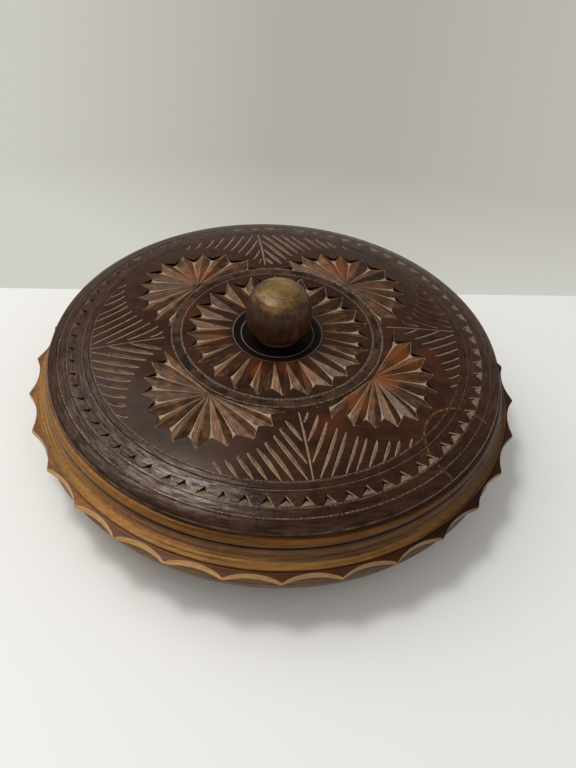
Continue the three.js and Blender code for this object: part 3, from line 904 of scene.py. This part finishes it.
class BOWL_OT_bowl(bpy.types.Operator):
    """Build the turned bowl with its scalloped rim"""
    bl_idname = "wooden_bowl.bowl"
    bl_label = "Bowl"

    PER_SCALLOP = 20  # columns of the grid
    ROWS_BELOW, FACE_ROWS, ROWS_ABOVE = 14, 7, 12  # rows of the flange's edge

    def cut_radius(self, bowl, number, own, height, deeper):
        """Radius where the gouged surface stands at a height. Each gouge's section there is a
        circle whose centre is c = the hollow's radius plus the gouge's, so from the rim's axis
        r = c cos(a) - sqrt(R^2 - c^2 sin^2(a)) at an angle a from the hollow's middle, and the
        smallest of the nearest three strokes counts."""
        gouge = bowl.gouge / MM
        step = 2 * np.pi / bowl.scallops
        best = np.full(np.broadcast_shapes(own.shape, height.shape), 1e3)
        for shift in (-1, 0, 1):
            away = own - shift * step
            hollow = (bowl.rim - bowl.scallop_depth) / MM - deeper[(number + shift) % len(deeper)]
            stroke = wrap((number + shift + 0.5) * step - LEANS_TOWARDS)
            lean = bowl.lean + bowl.more_lean * np.exp(-(stroke / LEAN_SPREAD) ** 2)
            centre = hollow + gouge + (GOUGE_PIVOT - height) * np.tan(lean)
            inside = gouge ** 2 - (centre * np.sin(away)) ** 2
            reach = centre * np.cos(away) - np.sqrt(np.maximum(inside, 0))
            best = np.minimum(best, np.where(inside > 0, reach, 1e3))
        return best

    def execute(self, context):
        bowl = context.scene.wooden_bowl
        rim = bowl.rim / MM
        belly = arc((70, 24), (44, 21.5), -88, -6, 15)
        below = profile(
            (0, 2), (line, 6, (56.4, 2)), (curve, 2, (57.3, 1.6), (57.8, 0.5), (58.4, 0)),
            (line, 2, (65.4, 0)), (curve, 2, (66.2, 0.5), (66.8, 1.6), (68.5, 2.4)),
            (line, 1, belly[0]), (curve, 1, *belly[1:]))
        edge = curve([below[-1], (113.0, 23.8), (112.2, 25.4), (112.5, 26.9),
                      (115.2, 27.8), (117.3, 28.4), (rim, 29.2), (rim - 0.1, 30.2), (117.2, 30.7),
                      (115.6, 31.0), (114.1, 31.15), (113.4, 31.3)], 12)
        inside = arc((68, 28), (33.5, 19.5), 10, -90, 14)
        above = profile(
            (113.4, 31.3), (curve, 3, (113.5, 31.8), (113.4, 32.4), (112.9, 32.85), (112.3, 33.0)),
            (curve, 4, (111.2, 33.7), (109.9, 35.1), (109.15, 37.0), (108.9, 38.8), (108.9, 40.2)),
            (curve, 2, (108.3, 40.6), (108.4, 41.0), (109.0, 41.35)),
            (curve, 3, (109.2, 42.4), (109.0, 43.7), (108.2, 44.8), (106.9, 45.3)),
            (line, 3, (98.5, 45.3)), (curve, 2, (98.1, 45.1), (98.0, 44.6)),
            (curve, 2, (98.4, 41), (99.6, 37), (101.0, 33)),
            (line, 1, inside[0]), (curve, 1, *inside[1:]), (line, 3, (34, 8.3), (0, 8.1)))
        columns = bowl.scallops * self.PER_SCALLOP
        angle = around(columns)
        step = 2 * np.pi / bowl.scallops
        number = np.floor(angle / step).astype(int)
        own = wrap(angle - (number + 0.5) * step)
        rng = np.random.default_rng(30)
        deeper = np.clip(rng.normal(0, 0.2, bowl.scallops), -0.35, 0.35)
        over = edge[:, :1] - self.cut_radius(bowl, number, own[None, :], edge[:, 1:], deeper)
        over[edge[:, 1] < BELLY_TOP] = over[-1] = -1.0
        gone = over > 0
        none = ~gone.any(axis=0)
        first = np.maximum(np.argmax(gone, axis=0), 1)
        last = np.minimum(len(edge) - 1 - np.argmax(gone[::-1], axis=0), len(edge) - 2)

        def beyond(row, after):
            """Where the cut ends between its last row and the row after, as a share."""
            here, there = (over[rows, np.arange(columns)] for rows in (row, after))
            return here / np.where(none, 1.0, here - there)

        nearest = np.argmax(over, axis=0)
        low = np.where(none, nearest, first - beyond(first, first - 1))
        high = np.where(none, nearest, last + beyond(last, last + 1))
        index = np.arange(len(edge))
        lower = low * np.linspace(0, 1, self.ROWS_BELOW)[:, None]
        upper = high + (index[-1] - high) * np.linspace(0, 1, self.ROWS_ABOVE)[:, None]
        lower = [np.interp(lower, index, edge[:, axis]) for axis in (0, 1)]
        upper = [np.interp(upper, index, edge[:, axis]) for axis in (0, 1)]
        share = np.linspace(0, 1, self.FACE_ROWS + 2)[1:-1, None]
        height = lower[1][-1] + (upper[1][0] - lower[1][-1]) * share
        face = self.cut_radius(bowl, number, own[None, :], height, deeper)
        face = [np.where(none, lower[0][-1], face), height]
        radius, height = (np.vstack([np.tile(below[:-1, axis:axis + 1], columns), lower[axis],
                                     face[axis], upper[axis],
                                     np.tile(above[1:, axis:axis + 1], columns)])
                          for axis in (0, 1))
        points = turned(radius, height, angle[None, :]).reshape(-1, 3)
        faces = grid_faces(len(radius), columns)
        row = np.arange(len(radius) - 1) - (len(below) - 1) - (self.ROWS_BELOW - 1)
        fresh = np.repeat(((row >= 0) & (row <= self.FACE_ROWS)).astype(float), columns)
        piece = make_piece("bowl_turned", points, faces, bowl_material(bowl),
                           face_values={"fresh": fresh})
        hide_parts("bowl")
        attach(piece, "bowl")
        return {"FINISHED"}


class BOWL_OT_lid(bpy.types.Operator):
    """Build the lid with its chip carving"""
    bl_idname = "wooden_bowl.lid"
    bl_label = "Carved lid"

    def execute(self, context):
        lid = context.scene.wooden_lid
        top, top_faces, values = carved_top(lid)
        rim_height = float(crown(np.array([CARVED_EDGE]), lid)[0])
        side = profile(
            (CARVED_EDGE, rim_height), (curve, 2, (100.8, 52.4), (101.9, 51.97), (102.5, 51.7)),
            (line, 1, (102.75, 51.35), (103.05, 51.5)),
            (curve, 4, (104.4, 50.9), (106.2, 49.95), (106.9, 49.45)),
            (curve, 2, (106.85, 49.15), (106.5, 48.95), (106.7, 48.7), (107.05, 48.4)),
            (curve, 3, (107.25, 47.6), (107.15, 46.7), (106.7, 46.0), (106.1, 45.6)),
            (line, 3, (97.4, 45.6)), (line, 2, (97.4, 42.6), (96.8, 41.8), (91.0, 41.8)),
            (curve, 3, (90.4, 44), (89.2, 47), (87.0, 49.6), (83.0, 51.6), (76.0, 52.9),
             (66.0, 54.0), (55.0, 54.9)),
            (line, 3, (30.0, 55.2), (5.4, 55.4)), (line, 2, (5.4, 60.0)), (line, 3, (15.8, 60.0)),
            (curve, 2, (16.2, 60.1), (16.6, 60.45), (17.0, 60.9), (17.4, 61.0)),
            (line, 2, (20.0, 60.95)), (curve, 2, (20.4, 61.05), (20.8, 61.4), (RECESS_EDGE, 61.7)))
        body, body_faces = spun(side, LID_SEGMENTS)
        points = np.vstack([top, body])
        faces = top_faces.tolist() + (body_faces + len(top)).tolist()
        rows = np.full(len(side) - 1, GROUND)
        middle = 0.5 * (side[1:, 0] + side[:-1, 0])
        sunk = (middle < RECESS_EDGE) & (0.5 * (side[1:, 1] + side[:-1, 1]) > 59.9)
        # The sunk ring's faces are painted near black, partly the stain and partly painted shade;
        # its step edges get painted glints
        rows[sunk] = WALL
        rows[sunk & (np.abs(middle - 16.9) < 0.7) | sunk & (middle > 20.0)] = STEP
        plain = {"kind": np.repeat(rows, LID_SEGMENTS), "wear": np.ones(len(body_faces))}
        for key, carved in values.items():
            rest = plain.get(key, np.zeros((len(body_faces),) + carved.shape[1:]))
            values[key] = np.concatenate([carved, rest])
        piece = make_piece("lid_carved", points, faces, lid_material(lid), 20.0, values)
        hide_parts("lid")
        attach(piece, "lid")
        return {"FINISHED"}


class BOWL_OT_knob(bpy.types.Operator):
    """Build the turned knob"""
    bl_idname = "wooden_bowl.knob"
    bl_label = "Knob"

    def execute(self, context):
        knob = context.scene.wooden_knob
        top = knob.top / MM
        path = profile(
            (0, 55.7), (line, 2, (4.9, 55.7), (5.1, 55.9), (5.1, 60.3), (10.2, 60.3)),
            (curve, 3, (10.6, 60.6), (10.5, 61.4), (9.9, 62.1), (9.8, 62.6)),
            (curve, 5, (11.2, 63.2), (12.9, 64.5), (14.3, 66.7), (15.1, 69.4), (15.35, 72.5),
             (15.15, 75.4), (14.6, 78.3), (13.6, 81.3), (12.5, 83.4), (11.5, 84.7), (11.0, 85.15)),
            (curve, 4, (9.6, 85.9), (7.4, 86.8), (4.6, top - 0.45), (2.2, top - 0.1), (0, top)))
        piece = make_piece("knob_turned", *spun(path, KNOB_SEGMENTS), knob_material(knob))
        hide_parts("knob")
        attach(piece, "lid")
        return {"FINISHED"}


class BOWL_OT_stage(bpy.types.Operator):
    """Build the table top, the lamps, the world and the camera"""
    bl_idname = "wooden_bowl.stage"
    bl_label = "Stage"

    # Lamps: place in metres, with +X to the camera's right, then width in metres and watts
    LAMPS = (("window", (-0.42, 0.07, 1.33), 0.3, 6.0),
             ("wide_window", (-0.7, 0.3, 1.1), 1.1, 6.2),
             ("room_fill", (0.3, -1.0, 1.0), 1.2, 2.0))
    ELEVATION, ROLL = math.radians(43.82), math.radians(4.7)
    TARGET = Vector((0.00328, -0.01854, 0.045))
    DISTANCE = 0.425
    FOCAL_LENGTH = 42.48

    def table(self, stage):
        """The table top ends behind the bowl in the line where the wall begins."""
        along = Vector((math.cos(TABLE_TURN), math.sin(TABLE_TURN), 0))
        away = Vector((-along.y, along.x, 0))
        back = away * WALL_DISTANCE
        corners = [back - along * 1.6, back - along * 1.6 - away * 1.8,
                   back + along * 1.6 - away * 1.8, back + along * 1.6]
        mesh = bpy.data.meshes.new("table_top")
        mesh.from_pydata([tuple(corner) for corner in corners], [], [(0, 1, 2, 3)])
        table = bpy.data.objects.new("table_top", mesh)
        bpy.context.scene.collection.objects.link(table)
        material, n = new_material("painted_board")
        shader = n.add("ShaderNodeBsdfPrincipled", {"Base Color": stage.floor, "Roughness": 0.55})
        n.add("ShaderNodeOutputMaterial", {"Surface": shader})
        mesh.materials.append(material)

    def room(self, stage):
        """The world: what the camera sees behind the table is the wall, with painted light that
        makes it lighter at its foot and on the left; polished wood mirrors a bright wall low down
        and a dim room above; and everything is lit a little from all round."""
        world = bpy.data.worlds.new("room")
        n = Nodes(world)
        toward = n.add("ShaderNodeTexCoord", output="Generated")
        height = n.part(toward, "Z")
        right = n.span("DOT_PRODUCT", toward, (0.98, -0.199, 0))
        pale = n.remap(height, -0.5, -0.63, 0.08, 0.9) + n.remap(right, -0.03, -0.3, 0.0, 0.75)
        pale = pale + n.remap(right, 0.08, 0.3, 0.0, 0.35)

        def glow(colour, strength=1.0):
            return n.add("ShaderNodeBackground", {"Color": colour, "Strength": strength})

        shown = glow("#efedeb", 0.56)
        for ray, seen in (
                ("Is Glossy Ray", glow("#f4f1ee", n.remap(height, 0.1, 0.75, 0.4, 0.16))),
                ("Is Camera Ray", glow(n.mix(pale, stage.wall, stage.wall_low)))):
            share = n.add("ShaderNodeLightPath", output=ray)
            shown = n.add("ShaderNodeMixShader", {0: share, 1: shown, 2: seen})
        n.add("ShaderNodeOutputWorld", {"Surface": shown})
        return world

    def execute(self, context):
        scene = context.scene
        stage = scene.wooden_stage
        self.table(stage)
        scene.world = self.room(stage)
        turn = Matrix.Rotation(CAMERA_TURN, 4, "Z")
        for name, place, size, energy in self.LAMPS:
            light = bpy.data.lights.new(name, "AREA")
            light.size = size
            light.energy = energy
            lamp = bpy.data.objects.new(name, light)
            spot = turn @ Vector(place)
            aim = (Vector((0, 0, 0.04)) - spot).to_track_quat("-Z", "Y")
            lamp.location = spot
            lamp.rotation_euler = aim.to_euler()
            scene.collection.objects.link(lamp)

        right = Vector((math.cos(CAMERA_TURN), math.sin(CAMERA_TURN), 0))
        back = Vector((right.y, -right.x, 0)) * math.cos(self.ELEVATION)
        back.z = math.sin(self.ELEVATION)
        across = right * math.cos(self.ROLL) + back.cross(right) * math.sin(self.ROLL)
        lens = bpy.data.cameras.new("camera")
        lens.lens = self.FOCAL_LENGTH
        lens.sensor_width = 36.0
        lens.clip_start = 0.01
        camera = bpy.data.objects.new("camera", lens)
        rotation = Matrix((across, back.cross(across), back)).transposed().to_4x4()
        camera.matrix_world = Matrix.Translation(self.TARGET + back * self.DISTANCE) @ rotation
        scene.collection.objects.link(camera)
        scene.camera = camera
        scene.view_settings.view_transform = "Standard"
        return {"FINISHED"}


class BOWL_PT_panel(bpy.types.Panel):
    bl_idname = "BOWL_PT_panel"
    bl_label = "Wooden Bowl"
    bl_space_type = "VIEW_3D"
    bl_region_type = "UI"
    bl_category = "Wooden Bowl"

    def draw(self, context):
        for kind, group in ((BOWL_OT_bowl, "wooden_bowl"), (BOWL_OT_lid, "wooden_lid"),
                            (BOWL_OT_knob, "wooden_knob"), (BOWL_OT_stage, "wooden_stage")):
            box = self.layout.box()
            settings = getattr(context.scene, group)
            for name in settings.__annotations__:
                box.prop(settings, name)
            box.operator(kind.bl_idname)


CLASSES = (BowlSettings, LidSettings, KnobSettings, StageSettings,
           BOWL_OT_bowl, BOWL_OT_lid, BOWL_OT_knob, BOWL_OT_stage, BOWL_PT_panel)
GROUPS = {"wooden_bowl": BowlSettings, "wooden_lid": LidSettings,
          "wooden_knob": KnobSettings, "wooden_stage": StageSettings}


def register():
    for item in CLASSES:
        bpy.utils.register_class(item)
    for name, group in GROUPS.items():
        setattr(bpy.types.Scene, name, PointerProperty(type=group))


def unregister():
    for name in GROUPS:
        delattr(bpy.types.Scene, name)
    for item in reversed(CLASSES):
        bpy.utils.unregister_class(item)


def main():
    register()
    bpy.ops.wooden_bowl.bowl()
    bpy.ops.wooden_bowl.lid()
    bpy.ops.wooden_bowl.knob()
    bpy.ops.wooden_bowl.stage()


if __name__ == "__main__":
    main()
